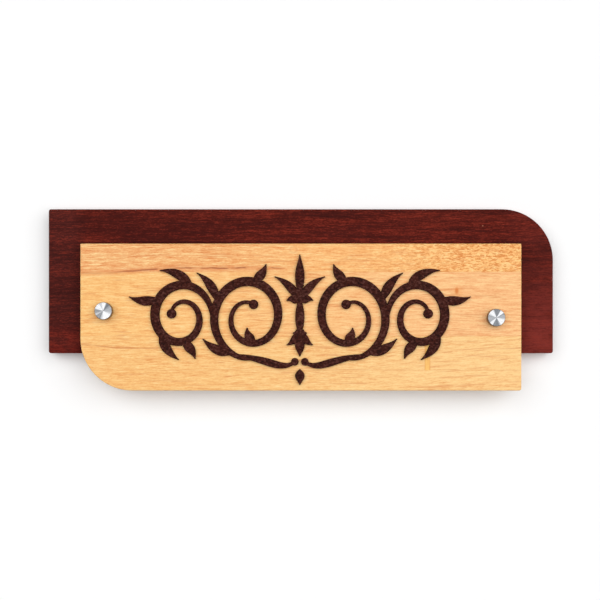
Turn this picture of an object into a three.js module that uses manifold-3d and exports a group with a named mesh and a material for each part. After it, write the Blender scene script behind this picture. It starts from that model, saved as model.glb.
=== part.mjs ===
// Wall name plate: a light board on a dark one, glued scrollwork and two screw-on caps.
// Millimetres, +X right, +Z up, front towards -Y. The origin is the middle of the back
// board's rear face, which lies on the wall.

import * as THREE from "three";
import { mergeVertices } from "three/addons/utils/BufferGeometryUtils.js";
import Module from "manifold-3d";

// Back board
const backLength = 355.6;
const backHeight = 101.6;
const backThickness = 12;
const backCornerRadius = 36;

// Face board, which hangs lower than the back board
const faceLength = 304.8;
const faceHeight = 101.6;
const faceThickness = 12;
const faceCornerRadius = 36;
const faceDrop = 25.4;

// Rounding of the boards' long edges
const arris = 0.8;

// Caps: how far in from the face board's ends, and how far above its middle
const leftCapInset = 17;
const leftCapRise = 4.2;
const rightCapInset = 18.4;
const rightCapRise = -0.4;
const capRadius = 6;
const capHeight = 4.5;
const capEdge = 0.3;
const studRadius = 1.5;
const studLength = 6.1;

// Soft washer between each cap and the face board
const washerRadius = 5.5;
const washerThickness = 0.6;

// Wall screw: a countersunk head with a tapped hole for the cap's stud
const headRadius = 4.6;
const headRim = 0.3;
const headSink = 0.3;
const neckRadius = 2.8;
const neckLength = 9;
const shankRadius = 2;
const tipLength = 4;
const tipRadius = 0.35;
const screwReach = 28;
const tapSpareDepth = 0.6;
const slotWidth = 1;
const slotDepth = 1.2;

// Wall plug around the screw
const plugRadius = 3;
const plugLength = 25;
const plugCollar = 3;
const plugBarbs = 4;
const plugBarbDepth = 0.35;
const plugSlitWidth = 0.8;
const plugSlitShare = 0.6;

// Joining screws, driven from behind through the back board into the face board
const joinHeadRadius = 3.5;
const joinShankRadius = 1.75;
const joinBite = 6.3;
const joinTipLength = 2.5;
const joinSpacingX = 190;
const joinSpacingZ = 48;
const joinHoleSpareDepth = 0.7;
const crossWidth = 1.1;
const crossLength = 3.8;
const crossDepth = 1.3;

// Scrollwork cut from flat sheet and glued to the face board
const scrollThickness = 2;
const scrollCapGap = 10.4;
const scrollEdgeGap = 9;
const thickStroke = 6.4;
const stemStroke = 5.2;
const thinStroke = 2.2;
const pointWidth = 0.5;
const leafWidth = 6.6;
const leafRise = 13;
const petalWidth = 6;
const berryRadius = 3.3;
const stemBerryRadius = 2.64;
const waistWidth = 6.4;
const waistGap = 2;
const waistPoint = 1;
const stemGap = 1.6;
const stemDip = 9;
const stemBerryDip = 2;
const endLeafLength = 15;
const dropLength = 11;
const dropGap = 2.4;

// The second curl against the first, how far the curls wind in and how fast
const curlStep = 0.82;
const curlShrink = 0.68;
const curlTightening = 1.35;
const firstCurlTurns = 1.55;
const secondCurlTurns = -1.45;

// Where the stem leans over and where it runs into the first curl
const stemLean = 0.6;
const stemJoin = 0.04;

// Palmette: heights against the curl's radius, and the lower fan against the upper one
const waistHeight = 1.1;
const fanFootHeight = 0.34;
const middlePetalHeight = 1.16;
const lowerFanShare = 0.52;

// Where strokes are thickest, as a share of their length, and how sharply they swell
const curlPeak = 0.3;
const leafPeak = 0.42;
const stemPeak = 0.55;
const swellPower = 1.3;

// Leaves: place along the curl, turn away from it, bend, length against the curl's radius
const firstLeaves = [
  { at: 0.05, away: -0.5, bend: 0.8, length: 0.9 },
  { at: 0.2, away: -0.55, bend: -0.9, length: 1 },
  { at: 0.33, away: -0.62, bend: -0.9, length: 0.62 },
  { at: 0.62, away: 0.6, bend: 1.2, length: 0.5 },
];
const secondLeaves = [
  { at: 0.13, away: 0.6, bend: -1.0, length: 1 },
  { at: 0.27, away: 0.6, bend: 0.9, length: 0.84 },
  { at: 0.41, away: 0.5, bend: -0.9, length: 0.9 },
  { at: 0.52, away: 0.6, bend: 0.9, length: 0.6 },
];
const petals = [
  { lean: 0.34, bend: 0.85, length: 0.9 },
  { lean: 0.6, bend: 1.6, length: 0.36 },
];

// Clearances
const threadClearance = 0.3;
const seatClearance = 0.3;
const plugClearance = 0.3;

// How far cutting tools run past the faces that they cut
const cutOverrun = 1;

// Fineness of the round forms and the strokes
const turnedSteps = 32;
const capSteps = 60;
const cornerSteps = 20;
const plugSteps = 20;
const joinSteps = 24;
const curlSteps = 60;
const leafSteps = 12;

// Places worked out from the sizes
const backFrontY = -backThickness;
const faceFrontY = backFrontY - faceThickness;
const scrollFrontY = faceFrontY - scrollThickness;
const faceMiddleZ = -faceDrop;
const capPlaces = [
  { side: "left", x: -faceLength / 2 + leftCapInset, z: faceMiddleZ + leftCapRise },
  { side: "right", x: faceLength / 2 - rightCapInset, z: faceMiddleZ + rightCapRise },
];
const boltHoleRadius = plugRadius + plugClearance;
const capBackY = faceFrontY - washerThickness;
const headTopY = faceFrontY + headSink;
const studTipY = capBackY + studLength;
const tapEndY = studTipY + tapSpareDepth;
const sharedTopZ = Math.min(backHeight / 2, faceMiddleZ + faceHeight / 2);
const sharedBottomZ = Math.max(-backHeight / 2, faceMiddleZ - faceHeight / 2);
const sharedMiddleZ = (sharedTopZ + sharedBottomZ) / 2;

const darkWood = new THREE.MeshStandardMaterial({ color: 0x56201a, roughness: 0.5, metalness: 0 });
const paleWood = new THREE.MeshStandardMaterial({ color: 0xf3b86c, roughness: 0.5, metalness: 0 });
const brownSheet = new THREE.MeshStandardMaterial({ color: 0x3c2016, roughness: 0.7, metalness: 0 });
const spunSteel = new THREE.MeshStandardMaterial({ color: 0xc9c9c9, roughness: 0.3, metalness: 1 });
const zincSteel = new THREE.MeshStandardMaterial({ color: 0xb9bcc0, roughness: 0.4, metalness: 1 });
const nylon = new THREE.MeshStandardMaterial({ color: 0xd8d8d2, roughness: 0.6, metalness: 0 });

const wasm = await Module();
wasm.setup();

// A closed geometry as a solid that can be joined and cut
function toSolid(geometry) {
  const bare = geometry.clone();
  bare.deleteAttribute("normal");
  bare.deleteAttribute("uv");
  const merged = mergeVertices(bare, 1e-4);
  const index = merged.index.array;
  const triVerts = [];
  for (let i = 0; i < index.length; i += 3) {
    const [a, b, c] = [index[i], index[i + 1], index[i + 2]];
    if (a !== b && b !== c && c !== a) {
      triVerts.push(a, b, c);
    }
  }
  const mesh = new wasm.Mesh({
    numProp: 3,
    vertProperties: new Float32Array(merged.attributes.position.array),
    triVerts: new Uint32Array(triVerts),
  });
  return new wasm.Manifold(mesh);
}

// A solid as a geometry that can be shown
function toGeometry(solid) {
  const mesh = solid.getMesh();
  const geometry = new THREE.BufferGeometry();
  geometry.setAttribute("position", new THREE.BufferAttribute(mesh.vertProperties, 3));
  geometry.setIndex(new THREE.BufferAttribute(mesh.triVerts, 1));
  geometry.computeVertexNormals();
  return geometry;
}

// A turned form about the Y axis, from [radius, y] pairs that run from front to rear
function turned(profile, steps = turnedSteps) {
  const points = profile.map(([radius, y]) => new THREE.Vector2(radius, y));
  return new THREE.LatheGeometry(points, steps);
}

// The same form as a cutting tool at a place on the boards
function cutter(profile, place) {
  const geometry = turned(profile);
  geometry.translate(place.x, 0, place.z);
  return toSolid(geometry);
}

function named(name, geometry, material, x = 0, z = 0) {
  const mesh = new THREE.Mesh(geometry, material);
  mesh.name = name;
  mesh.position.set(x, 0, z);
  return mesh;
}

// Outline of a board with one round corner: top right, or bottom left when turned over
function boardOutline(length, height, radius, turn) {
  const x = turn * length / 2;
  const z = turn * height / 2;
  const startAngle = turn > 0 ? 0 : Math.PI;
  const outline = new THREE.Shape();
  outline.moveTo(-x, -z);
  outline.lineTo(x, -z);
  outline.lineTo(x, z - turn * radius);
  outline.absarc(x - turn * radius, z - turn * radius, radius, startAngle, startAngle + Math.PI / 2, false);
  outline.lineTo(-x, z);
  return outline;
}

// A flat outline stood up in the XZ plane, from rearY towards the front
function standing(outline, thickness, rearY, edge) {
  const geometry = new THREE.ExtrudeGeometry(outline, {
    depth: thickness - 2 * edge,
    curveSegments: cornerSteps,
    bevelEnabled: edge > 0,
    bevelThickness: edge,
    bevelSize: edge,
    bevelOffset: -edge,
    bevelSegments: 2,
  });
  geometry.translate(0, 0, edge);
  geometry.rotateX(Math.PI / 2);
  geometry.translate(0, rearY, 0);
  return geometry;
}

// The four joining screws, around the middle of the area where the boards overlap
function joinPlaces() {
  const places = [];
  for (const [row, upDown] of [["upper", 1], ["lower", -1]]) {
    for (const [side, leftRight] of [["left", -1], ["right", 1]]) {
      const x = leftRight * joinSpacingX / 2;
      const z = sharedMiddleZ + upDown * joinSpacingZ / 2;
      places.push({ name: `joining_screw_${row}_${side}`, x, z });
    }
  }
  return places;
}

function backBoard() {
  const outline = boardOutline(backLength, backHeight, backCornerRadius, 1);
  let board = toSolid(standing(outline, backThickness, 0, arris));
  for (const place of capPlaces) {
    board = board.subtract(cutter([
      [0, backFrontY - cutOverrun],
      [boltHoleRadius, backFrontY - cutOverrun],
      [boltHoleRadius, cutOverrun],
      [0, cutOverrun],
    ], place));
  }
  const holeRadius = joinShankRadius + threadClearance;
  const mouthRadius = joinHeadRadius + seatClearance + headSink;
  for (const place of joinPlaces()) {
    board = board.subtract(cutter([
      [0, backFrontY - cutOverrun],
      [holeRadius, backFrontY - cutOverrun],
      [holeRadius, holeRadius - mouthRadius],
      [mouthRadius, 0],
      [mouthRadius, cutOverrun],
      [0, cutOverrun],
    ], place));
  }
  return toGeometry(board);
}

function faceBoard() {
  const outline = boardOutline(faceLength, faceHeight, faceCornerRadius, -1);
  const slab = standing(outline, faceThickness, backFrontY, arris);
  slab.translate(0, 0, faceMiddleZ);
  let board = toSolid(slab);
  const mouthRadius = headRadius + seatClearance;
  const coneY = faceFrontY + headSink + headRim;
  for (const place of capPlaces) {
    board = board.subtract(cutter([
      [0, faceFrontY - cutOverrun],
      [mouthRadius, faceFrontY - cutOverrun],
      [mouthRadius, coneY],
      [boltHoleRadius, coneY + mouthRadius - boltHoleRadius],
      [boltHoleRadius, backFrontY + cutOverrun],
      [0, backFrontY + cutOverrun],
    ], place));
  }
  const pilotRadius = joinShankRadius + threadClearance;
  const pilotDepth = joinBite + joinHoleSpareDepth;
  for (const place of joinPlaces()) {
    board = board.subtract(cutter([
      [0, backFrontY - pilotDepth],
      [pilotRadius, backFrontY - pilotDepth],
      [pilotRadius, backFrontY + cutOverrun],
      [0, backFrontY + cutOverrun],
    ], place));
  }
  return toGeometry(board);
}

// Spun disc with a threaded stud behind it
function cap() {
  return turned([
    [0, capBackY - capHeight],
    [capRadius - capEdge, capBackY - capHeight],
    [capRadius, capBackY - capHeight + capEdge],
    [capRadius, capBackY],
    [studRadius, capBackY],
    [studRadius, studTipY - capEdge],
    [studRadius - capEdge, studTipY],
    [0, studTipY],
  ], capSteps);
}

function washer() {
  const bore = studRadius + threadClearance;
  return turned([
    [bore, capBackY],
    [washerRadius, capBackY],
    [washerRadius, faceFrontY],
    [bore, faceFrontY],
    [bore, capBackY],
  ]);
}

// Wall screw with a driving slot across its tapped head
function wallScrew() {
  const tapRadius = studRadius + threadClearance;
  const coneEndY = headTopY + headRim + headRadius - neckRadius;
  const neckEndY = headTopY + neckLength;
  const blank = toSolid(turned([
    [0, tapEndY + tapRadius / 2],
    [tapRadius, tapEndY],
    [tapRadius, headTopY],
    [headRadius, headTopY],
    [headRadius, headTopY + headRim],
    [neckRadius, coneEndY],
    [neckRadius, neckEndY],
    [shankRadius, neckEndY + neckRadius - shankRadius],
    [shankRadius, screwReach - tipLength],
    [tipRadius, screwReach],
    [0, screwReach],
  ]));
  const slot = new THREE.BoxGeometry(3 * headRadius, 2 * slotDepth, slotWidth);
  slot.translate(0, headTopY, 0);
  return toGeometry(blank.subtract(toSolid(slot)));
}

// Nylon plug with barbs, split from its far end
function wallPlug() {
  const bore = shankRadius + plugClearance;
  const mouthY = plugClearance;
  const endY = mouthY + plugLength;
  const barbPitch = (plugLength - plugCollar) / plugBarbs;
  const profile = [[bore, mouthY], [plugRadius, mouthY]];
  for (let i = 0; i < plugBarbs; i += 1) {
    const crestY = mouthY + plugCollar + i * barbPitch;
    profile.push([plugRadius, crestY]);
    profile.push([plugRadius - plugBarbDepth, crestY]);
    profile.push([plugRadius - plugBarbDepth, crestY + barbPitch / 2]);
  }
  profile.push([plugRadius - plugBarbDepth, endY]);
  profile.push([bore, endY]);
  profile.push([bore, mouthY]);
  let plug = toSolid(turned(profile, plugSteps));
  const slitLength = plugLength * plugSlitShare + cutOverrun;
  for (const angle of [0, Math.PI / 2]) {
    const slit = new THREE.BoxGeometry(plugSlitWidth, slitLength, 3 * plugRadius);
    slit.translate(0, endY + cutOverrun - slitLength / 2, 0);
    slit.rotateY(angle);
    plug = plug.subtract(toSolid(slit));
  }
  return toGeometry(plug);
}

// Countersunk wood screw with a cross recess in its head
function joiningScrew() {
  const topY = -headSink;
  const coneY = topY - (joinHeadRadius - joinShankRadius);
  const tipY = backFrontY - joinBite;
  let screw = toSolid(turned([
    [0, tipY],
    [tipRadius, tipY],
    [joinShankRadius, tipY + joinTipLength],
    [joinShankRadius, coneY],
    [joinHeadRadius, topY],
    [0, topY],
  ], joinSteps));
  for (const angle of [Math.PI / 4, -Math.PI / 4]) {
    const slot = new THREE.BoxGeometry(crossLength, 2 * crossDepth, crossWidth);
    slot.rotateY(angle);
    slot.translate(0, topY, 0);
    screw = screw.subtract(toSolid(slot));
  }
  return toGeometry(screw);
}

// Scrollwork: pen strokes in the XZ plane, measured from the middle of the field

// A curl that winds in around its middle, as a line over t from 0 to 1
function curl(middle, size, startAngle, turns) {
  return (t) => {
    const angle = startAngle + 2 * Math.PI * turns * t;
    const left = size * (1 - curlShrink * t ** curlTightening);
    return new THREE.Vector2(
      middle.x + curlHalfWidth * left * Math.cos(angle),
      middle.y + curlHalfHeight * left * Math.sin(angle),
    );
  };
}

function headingOf(line, t) {
  const ahead = line(Math.min(t + 0.001, 1));
  const behind = line(Math.max(t - 0.001, 0));
  return Math.atan2(ahead.y - behind.y, ahead.x - behind.x);
}

// A flat bar along a line, as wide at each point as widthAt says, in even steps
function stroke(line, widthAt, steps) {
  const corners = [];
  const faces = [];
  for (let i = 0; i <= steps; i += 1) {
    const t = i / steps;
    const point = line(t);
    const heading = headingOf(line, t);
    const half = widthAt(t) / 2;
    for (const [side, y] of [[1, faceFrontY], [-1, faceFrontY], [-1, scrollFrontY], [1, scrollFrontY]]) {
      corners.push(
        point.x - side * half * Math.sin(heading),
        y,
        point.y + side * half * Math.cos(heading),
      );
    }
    for (let k = 0; k < 4 && i < steps; k += 1) {
      const [a, b] = [4 * i + k, 4 * i + (k + 1) % 4];
      faces.push(a, b + 4, b, a, a + 4, b + 4);
    }
  }
  const last = 4 * steps;
  faces.push(0, 1, 2, 0, 2, 3, last, last + 2, last + 1, last, last + 3, last + 2);
  const bar = new THREE.BufferGeometry();
  bar.setAttribute("position", new THREE.Float32BufferAttribute(corners, 3));
  bar.setIndex(faces);
  return toSolid(bar);
}

// Width that swells from thin to thick and back, thickest at the share called peak
function swelling(thin, thick, peak) {
  const power = Math.log(0.5) / Math.log(peak);
  return (t) => thin + (thick - thin) * Math.sin(Math.PI * t ** power) ** swellPower;
}

// A pointed leaf that starts with a heading and bends evenly along its length
function leaf(start, heading, bend, length, width) {
  const radius = length / bend;
  const line = (t) => new THREE.Vector2(
    start.x + radius * (Math.sin(heading + bend * t) - Math.sin(heading)),
    start.y - radius * (Math.cos(heading + bend * t) - Math.cos(heading)),
  );
  return stroke(line, swelling(pointWidth, width, leafPeak), leafSteps);
}

function berry(middle, radius) {
  const outline = new THREE.Shape();
  outline.absarc(middle.x, middle.y, radius, 0, 2 * Math.PI, false);
  return toSolid(standing(outline, scrollThickness, faceFrontY, 0));
}

function joined(solids) {
  return solids.reduce((sum, solid) => sum.add(solid));
}

const fieldMiddleX = (capPlaces[0].x + capPlaces[1].x) / 2;
const fieldReach = (capPlaces[1].x - capPlaces[0].x) / 2 - capRadius - scrollCapGap;
const vineStartX = waistWidth / 2 + waistGap + thickStroke / 2;
const curlHalfWidth = (fieldReach - vineStartX - endLeafLength) / (2 + 2 * curlStep);
const curlHalfHeight = faceHeight / 2 - scrollEdgeGap - leafRise;
const leafUnit = Math.min(curlHalfWidth, curlHalfHeight);
const stemBerryZ = -curlHalfHeight - stemBerryDip;

// One side's vine: two curls that wind opposite ways, with leaves and berries
function vine() {
  const firstMiddle = new THREE.Vector2(vineStartX + curlHalfWidth, 0);
  const secondMiddle = new THREE.Vector2(firstMiddle.x + curlHalfWidth * (1 + curlStep), 0);
  const first = curl(firstMiddle, 1, -Math.PI / 2, firstCurlTurns);
  const second = curl(secondMiddle, curlStep, Math.PI, secondCurlTurns);
  const stemStart = new THREE.Vector2(stemGap / 2 + stemBerryRadius, stemBerryZ);
  const stemLine = new THREE.CubicBezierCurve(
    stemStart,
    new THREE.Vector2(stemStart.x + stemDip, -curlHalfHeight - stemDip),
    new THREE.Vector2(firstMiddle.x * stemLean, -curlHalfHeight),
    first(stemJoin),
  );
  const parts = [
    stroke((t) => stemLine.getPoint(t), swelling(thinStroke, stemStroke, stemPeak), leafSteps),
    stroke(first, swelling(thinStroke, thickStroke, curlPeak), curlSteps),
    stroke(second, swelling(thinStroke, thickStroke, curlPeak), curlSteps),
    berry(stemStart, stemBerryRadius),
    berry(first(1), berryRadius),
    berry(second(1), berryRadius),
  ];
  for (const [line, leaves] of [[first, firstLeaves], [second, secondLeaves]]) {
    for (const { at, away, bend, length } of leaves) {
      const heading = headingOf(line, at) + away;
      parts.push(leaf(line(at), heading, bend, leafUnit * length, leafWidth));
    }
  }
  return joined(parts);
}

// Petals fanned up and, smaller, down from a slim waist
function palmette() {
  const waist = (t) => new THREE.Vector2(0, curlHalfHeight * waistHeight * (t - 0.5));
  const parts = [stroke(waist, swelling(waistPoint, waistWidth, 0.5), leafSteps)];
  for (const [up, share] of [[1, 1], [-1, lowerFanShare]]) {
    const foot = new THREE.Vector2(0, up * curlHalfHeight * fanFootHeight);
    const reach = up * curlHalfHeight * middlePetalHeight * share;
    const middle = (t) => new THREE.Vector2(0, foot.y + reach * t);
    parts.push(stroke(middle, swelling(pointWidth, leafWidth, stemPeak), leafSteps));
    for (const side of [-1, 1]) {
      for (const { lean, bend, length } of petals) {
        const heading = up * (Math.PI / 2 - side * lean);
        const petalLength = curlHalfHeight * length * share;
        parts.push(leaf(foot, heading, -side * up * bend, petalLength, petalWidth));
      }
    }
  }
  return joined(parts);
}

// A pointed drop below the stems' berries
function baseDrop() {
  const top = stemBerryZ - stemBerryRadius - dropGap;
  const line = (t) => new THREE.Vector2(0, top - dropLength * t);
  return stroke(line, swelling(pointWidth, leafWidth, leafPeak), leafSteps);
}

const object = new THREE.Group();
object.add(named("back_board", backBoard(), darkWood));
object.add(named("face_board", faceBoard(), paleWood));
for (const place of capPlaces) {
  object.add(named(`${place.side}_cap`, cap(), spunSteel, place.x, place.z));
  object.add(named(`${place.side}_cap_washer`, washer(), nylon, place.x, place.z));
  object.add(named(`${place.side}_wall_screw`, wallScrew(), zincSteel, place.x, place.z));
  object.add(named(`${place.side}_wall_plug`, wallPlug(), nylon, place.x, place.z));
}
for (const place of joinPlaces()) {
  object.add(named(place.name, joiningScrew(), zincSteel, place.x, place.z));
}
const rightScroll = vine();
const scrollwork = [
  ["left_scroll", rightScroll.mirror([1, 0, 0])],
  ["right_scroll", rightScroll],
  ["centre_palmette", palmette()],
  ["base_drop", baseDrop()],
];
for (const [name, solid] of scrollwork) {
  object.add(named(name, toGeometry(solid), brownSheet, fieldMiddleX, faceMiddleZ));
}

export default object;
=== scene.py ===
import math

import bmesh
import bpy
import numpy as np
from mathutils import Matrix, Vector


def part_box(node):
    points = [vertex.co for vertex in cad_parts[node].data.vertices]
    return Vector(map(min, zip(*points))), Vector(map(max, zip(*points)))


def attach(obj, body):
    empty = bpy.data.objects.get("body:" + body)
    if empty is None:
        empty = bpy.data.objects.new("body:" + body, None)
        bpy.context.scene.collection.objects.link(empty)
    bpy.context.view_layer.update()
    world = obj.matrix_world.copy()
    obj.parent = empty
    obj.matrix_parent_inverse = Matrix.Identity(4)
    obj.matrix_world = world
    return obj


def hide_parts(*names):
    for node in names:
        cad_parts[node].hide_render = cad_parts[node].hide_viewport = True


# Wall name plate. Sizes are in millimetres until a mesh is made; the frame is in metres.
MM = 0.001

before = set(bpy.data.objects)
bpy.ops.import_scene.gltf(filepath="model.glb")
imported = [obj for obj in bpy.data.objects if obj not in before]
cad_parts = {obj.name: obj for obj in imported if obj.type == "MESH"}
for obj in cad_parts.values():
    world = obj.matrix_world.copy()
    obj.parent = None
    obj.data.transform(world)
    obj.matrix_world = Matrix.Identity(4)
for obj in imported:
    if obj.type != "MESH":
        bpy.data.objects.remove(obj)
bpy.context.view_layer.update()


def box_mm(node):
    """A CAD node's lowest and highest corner in millimetres"""
    low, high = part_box(node)
    return [c / MM for c in low], [c / MM for c in high]


# Planes and places read from the frame
back_low, back_high = box_mm("back_board")
face_low, face_high = box_mm("face_board")
scroll_low, _ = box_mm("right_scroll")
BACK_FRONT = back_low[1]
FACE_FRONT = face_low[1]
SCROLL_FRONT = scroll_low[1]


def middle_xz(node):
    """Middle of a node, seen from the front"""
    low, high = box_mm(node)
    return (low[0] + high[0]) / 2, (low[2] + high[2]) / 2


CAP_AT = {side: middle_xz(f"{side}_cap") for side in ("left", "right")}
screw_low, screw_high = box_mm("left_wall_screw")
HEAD_RADIUS = (screw_high[0] - screw_low[0]) / 2
JOINING_SCREWS = [
    f"joining_screw_{row}_{side}" for row in ("upper", "lower") for side in ("left", "right")
]


# Profiles and rings

def filleted(points, segments=4, closed=False):
    """Points of a profile, where a third number rounds that corner with that radius"""
    out = []
    count = len(points)
    for i, point in enumerate(points):
        here = np.array(point[:2], float)
        radius = point[2] if len(point) > 2 else 0
        if not radius or (not closed and i in (0, count - 1)):
            out.append(tuple(here))
            continue
        before = np.array(points[i - 1][:2], float) - here
        after = np.array(points[(i + 1) % count][:2], float) - here
        # a fillet takes less than half of either side
        room = 0.49 * min(np.linalg.norm(before), np.linalg.norm(after))
        before /= np.linalg.norm(before)
        after /= np.linalg.norm(after)
        half = math.acos(max(-1, min(1, float(before @ after)))) / 2
        reach = min(radius / math.tan(half), room)
        radius = reach * math.tan(half)
        toward = before + after
        centre = here + toward / np.linalg.norm(toward) * radius / math.sin(half)
        start = here + before * reach - centre
        end = here + after * reach - centre
        turn = math.atan2(start[0] * end[1] - start[1] * end[0], float(start @ end))
        for k in range(segments + 1):
            a = turn * k / segments
            out.append((
                centre[0] + start[0] * math.cos(a) - start[1] * math.sin(a),
                centre[1] + start[0] * math.sin(a) + start[1] * math.cos(a),
            ))
    return out


def lathe_rings(profile, centre, steps):
    """Rings about the Y axis through centre, from [radius, y] pairs"""
    angles = [2 * math.pi * i / steps for i in range(steps)]
    rings = []
    for radius, y in profile:
        if radius < 1e-6:
            rings.append([(centre[0], y, centre[1])])
        else:
            rings.append([
                (centre[0] + radius * math.cos(a), y, centre[1] + radius * math.sin(a)) for a in angles
            ])
    return rings


def thread_rings(centre, y0, y1, pitch, crest, depth, sharpness, steps, samples):
    """Rings of a right-hand thread from y0 to y1, samples of them to a turn

    crest(y) and depth(y) give its size along the way, and sharpness narrows its crest.
    """
    count = max(2, math.ceil(abs(y1 - y0) / pitch * samples))
    rings = []
    for j in range(count + 1):
        y = y0 + (y1 - y0) * j / count
        ring = []
        for i in range(steps):
            a = 2 * math.pi * i / steps
            phase = (y / pitch + i / steps) % 1
            height = max(0, 1 - abs(2 * phase - 1) * sharpness)
            radius = crest(y) - depth(y) * (1 - height)
            ring.append((centre[0] + radius * math.cos(a), y, centre[1] + radius * math.sin(a)))
        rings.append(ring)
    return rings


def joined_rings(rings, closed=False):
    """Vertices and faces that join rings in order; a ring of one point is a pole"""
    verts, faces, starts = [], [], []
    for ring in rings:
        starts.append(len(verts))
        verts.extend(ring)
    pairs = [(i, i + 1) for i in range(len(rings) - 1)]
    if closed:
        pairs.append((len(rings) - 1, 0))
    for a, b in pairs:
        size = max(len(rings[a]), len(rings[b]))
        for i in range(size):
            j = (i + 1) % size
            if len(rings[a]) == 1:
                faces.append((starts[a], starts[b] + j, starts[b] + i))
            elif len(rings[b]) == 1:
                faces.append((starts[a] + i, starts[a] + j, starts[b]))
            else:
                faces.append((starts[a] + i, starts[a] + j, starts[b] + j, starts[b] + i))
    return verts, faces


# Pieces

def make_mesh(name, verts, faces):
    """An object from points in millimetres, with its faces turned outward"""
    mesh = bpy.data.meshes.new(name)
    mesh.from_pydata([tuple(c * MM for c in v) for v in verts], [], faces)
    bm = bmesh.new()
    bm.from_mesh(mesh)
    bmesh.ops.recalc_face_normals(bm, faces=bm.faces)
    bm.to_mesh(mesh)
    bm.free()
    obj = bpy.data.objects.new(name, mesh)
    bpy.context.scene.collection.objects.link(obj)
    return obj


def box_cutter(middle, size, angle=0, taper=1):
    """A box for cutting, turned about Y; taper narrows its far end"""
    corners = []
    for end, share in ((-1, 1), (1, taper)):
        for sx, sz in ((-1, -1), (1, -1), (1, 1), (-1, 1)):
            x, z = sx * size[0] / 2 * share, sz * size[2] / 2 * share
            corners.append((
                middle[0] + x * math.cos(angle) - z * math.sin(angle),
                middle[1] + end * size[1] / 2,
                middle[2] + x * math.sin(angle) + z * math.cos(angle),
            ))
    faces = [(0, 1, 2, 3), (4, 5, 6, 7), (0, 1, 5, 4), (1, 2, 6, 5), (2, 3, 7, 6), (3, 0, 4, 7)]
    return make_mesh("cutter", corners, faces)


def carved(obj, cutters):
    """Cuts each cutter out of the object and keeps the result as its mesh"""
    for cutter in cutters:
        step = obj.modifiers.new("cut", "BOOLEAN")
        step.operation = "DIFFERENCE"
        step.solver = "EXACT"
        step.object = cutter
    bpy.context.view_layer.update()
    result = bpy.data.meshes.new_from_object(obj.evaluated_get(bpy.context.evaluated_depsgraph_get()))
    obj.modifiers.clear()
    obj.data = result
    for cutter in cutters:
        bpy.data.objects.remove(cutter)


def finished(obj, material, body, node, crease=32):
    """Smooths the piece but for its creases, paints it and ties it to the frame"""
    obj.data.polygons.foreach_set("use_smooth", [True] * len(obj.data.polygons))
    obj.data.set_sharp_from_angle(angle=math.radians(crease))
    obj.data.materials.clear()
    obj.data.materials.append(material)
    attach(obj, body)
    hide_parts(node)


# Materials

def rgb(red, green, blue):
    """A colour as seen on a screen, 0 to 255, as the linear colour that nodes take"""
    seen = (red / 255, green / 255, blue / 255)
    linear = [c / 12.92 if c <= 0.04045 else ((c + 0.055) / 1.055) ** 2.4 for c in seen]
    return (*linear, 1)


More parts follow.
